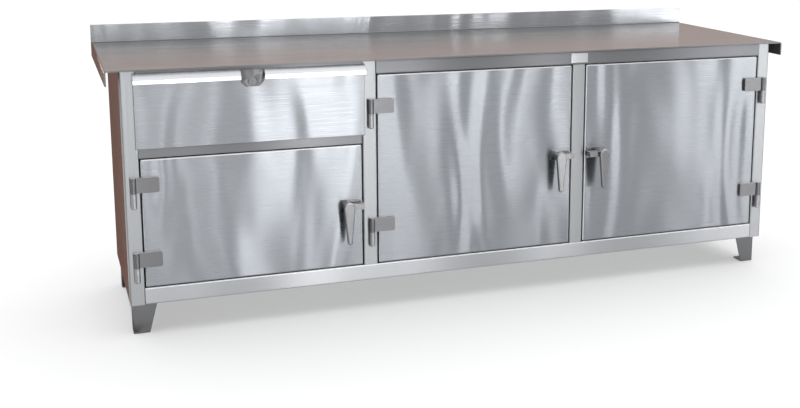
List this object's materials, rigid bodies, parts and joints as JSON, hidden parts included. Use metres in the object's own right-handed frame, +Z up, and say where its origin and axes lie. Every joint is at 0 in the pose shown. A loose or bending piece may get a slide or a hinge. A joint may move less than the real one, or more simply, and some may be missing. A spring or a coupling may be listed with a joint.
{
  "type": "stainless steel cabinet workbench",
  "caption": "Long stainless steel workbench with a backsplash top over a cabinet with a lockable drawer and lever-latched hinged doors, on short tapered legs.",
  "frame": {"origin": "on the floor, at the centre of the four anchor holes in the feet", "axes": "+X along the bench to the right as seen from the front, +Y from front to back, +Z up"},
  "size_m": [2.438, 0.801, 0.928],
  "materials": {
    "brushed_stainless": "brushed, fine horizontal grain",
    "bright_stainless": "smooth, bright",
    "cast_stainless": "satin, ground",
    "leg_stainless": "dull, mill",
    "plated_steel": "plated, satin"
  },
  "bodies": {
    "cabinet": {"back_panel": "brushed_stainless", "bench_top": "brushed_stainless", "blank_plate": "bright_stainless", "bottom_rail": "brushed_stainless", "drawer_header": "brushed_stainless", "drawer_rail": "brushed_stainless", "floor_panel": "brushed_stainless", "front_left_leg": "leg_stainless", "front_right_leg": "leg_stainless", "hinge_barrels": "cast_stainless", "hinge_pins": "cast_stainless", "left_partition": "brushed_stainless", "left_post": "brushed_stainless", "left_side_panel": "brushed_stainless", "left_stile": "brushed_stainless", "middle_shelf": "brushed_stainless", "rear_left_leg": "leg_stainless", "rear_right_leg": "leg_stainless", "right_partition": "brushed_stainless", "right_post": "brushed_stainless", "right_shelf": "brushed_stainless", "right_side_panel": "brushed_stainless", "right_stile": "brushed_stainless", "runner_brackets": "plated_steel", "runner_channels": "plated_steel", "shelf_ledges": "brushed_stainless", "top_rail": "brushed_stainless"},
    "left_door": {"left_door": "brushed_stainless", "left_hinge_leaves": "cast_stainless", "left_handle_base": "cast_stainless"},
    "left_handle": {"left_lever": "cast_stainless", "left_latch_cam": "plated_steel"},
    "left_top_rod": {"left_top_rod": "plated_steel"},
    "left_bottom_rod": {"left_bottom_rod": "plated_steel"},
    "middle_door": {"middle_door": "brushed_stainless", "middle_hinge_leaves": "cast_stainless", "middle_handle_base": "cast_stainless"},
    "middle_handle": {"middle_lever": "cast_stainless", "middle_latch_cam": "plated_steel"},
    "middle_top_rod": {"middle_top_rod": "plated_steel"},
    "middle_bottom_rod": {"middle_bottom_rod": "plated_steel"},
    "right_door": {"right_door": "brushed_stainless", "right_hinge_leaves": "cast_stainless", "right_handle_base": "cast_stainless"},
    "right_handle": {"right_lever": "cast_stainless", "right_latch_cam": "plated_steel"},
    "right_top_rod": {"right_top_rod": "plated_steel"},
    "right_bottom_rod": {"right_bottom_rod": "plated_steel"},
    "drawer": {"drawer_front": "brushed_stainless", "drawer_tray": "brushed_stainless", "left_drawer_pull": "bright_stainless", "right_drawer_pull": "bright_stainless", "lock_barrel": "bright_stainless", "runner_arms": "plated_steel"},
    "drawer_lock": {"lock_plug": "bright_stainless", "lock_bolt": "bright_stainless"},
    "runner_sliders": {"runner_sliders": "plated_steel"}
  },
  "joints": [
    {"name": "drawer_slide", "type": "slide", "parent": "cabinet", "child": "drawer", "axis": [0, -1, 0], "range_m": [0, 0.48]},
    {"name": "runner_slide", "type": "slide", "parent": "cabinet", "child": "runner_sliders", "axis": [0, -1, 0], "range_m": [0, 0.24]},
    {"name": "drawer_lock_turn", "type": "hinge", "parent": "drawer", "child": "drawer_lock", "pos_m": [-0.76833, -0.3, 0.8095], "axis": [0, -1, 0], "range_deg": [0, 90]},
    {"name": "left_door_hinge", "type": "hinge", "parent": "cabinet", "child": "left_door", "pos_m": [-1.15, -0.31, 0.4], "axis": [0, 0, -1], "range_deg": [0, 165]},
    {"name": "left_handle_turn", "type": "hinge", "parent": "left_door", "child": "left_handle", "pos_m": [-0.46867, -0.3, 0.37575], "axis": [0, 1, 0], "range_deg": [0, 90]},
    {"name": "left_top_rod_slide", "type": "slide", "parent": "left_door", "child": "left_top_rod", "axis": [0, 0, 1], "range_m": [0, 0.0201]},
    {"name": "left_bottom_rod_slide", "type": "slide", "parent": "left_door", "child": "left_bottom_rod", "axis": [0, 0, -1], "range_m": [0, 0.0201]},
    {"name": "middle_door_hinge", "type": "hinge", "parent": "cabinet", "child": "middle_door", "pos_m": [-0.38167, -0.31, 0.4], "axis": [0, 0, -1], "range_deg": [0, 90]},
    {"name": "middle_handle_turn", "type": "hinge", "parent": "middle_door", "child": "middle_handle", "pos_m": [0.29967, -0.3, 0.492], "axis": [0, 1, 0], "range_deg": [0, 90]},
    {"name": "middle_top_rod_slide", "type": "slide", "parent": "middle_door", "child": "middle_top_rod", "axis": [0, 0, 1], "range_m": [0, 0.0201]},
    {"name": "middle_bottom_rod_slide", "type": "slide", "parent": "middle_door", "child": "middle_bottom_rod", "axis": [0, 0, -1], "range_m": [0, 0.0201]},
    {"name": "right_door_hinge", "type": "hinge", "parent": "cabinet", "child": "right_door", "pos_m": [1.15, -0.31, 0.4], "axis": [0, 0, 1], "range_deg": [0, 165]},
    {"name": "right_handle_turn", "type": "hinge", "parent": "right_door", "child": "right_handle", "pos_m": [0.46867, -0.3, 0.492], "axis": [0, -1, 0], "range_deg": [0, 90]},
    {"name": "right_top_rod_slide", "type": "slide", "parent": "right_door", "child": "right_top_rod", "axis": [0, 0, 1], "range_m": [0, 0.0201]},
    {"name": "right_bottom_rod_slide", "type": "slide", "parent": "right_door", "child": "right_bottom_rod", "axis": [0, 0, -1], "range_m": [0, 0.0201]}
  ],
  "couplings": [
    {"joint": "runner_slide", "follows": "drawer_slide", "ratio": 0.5},
    {"joint": "left_top_rod_slide", "follows": "left_handle_turn", "m_per_rad": 0.012732},
    {"joint": "left_bottom_rod_slide", "follows": "left_handle_turn", "m_per_rad": 0.012732},
    {"joint": "middle_top_rod_slide", "follows": "middle_handle_turn", "m_per_rad": 0.012732},
    {"joint": "middle_bottom_rod_slide", "follows": "middle_handle_turn", "m_per_rad": 0.012732},
    {"joint": "right_top_rod_slide", "follows": "right_handle_turn", "m_per_rad": 0.012732},
    {"joint": "right_bottom_rod_slide", "follows": "right_handle_turn", "m_per_rad": 0.012732}
  ]
}
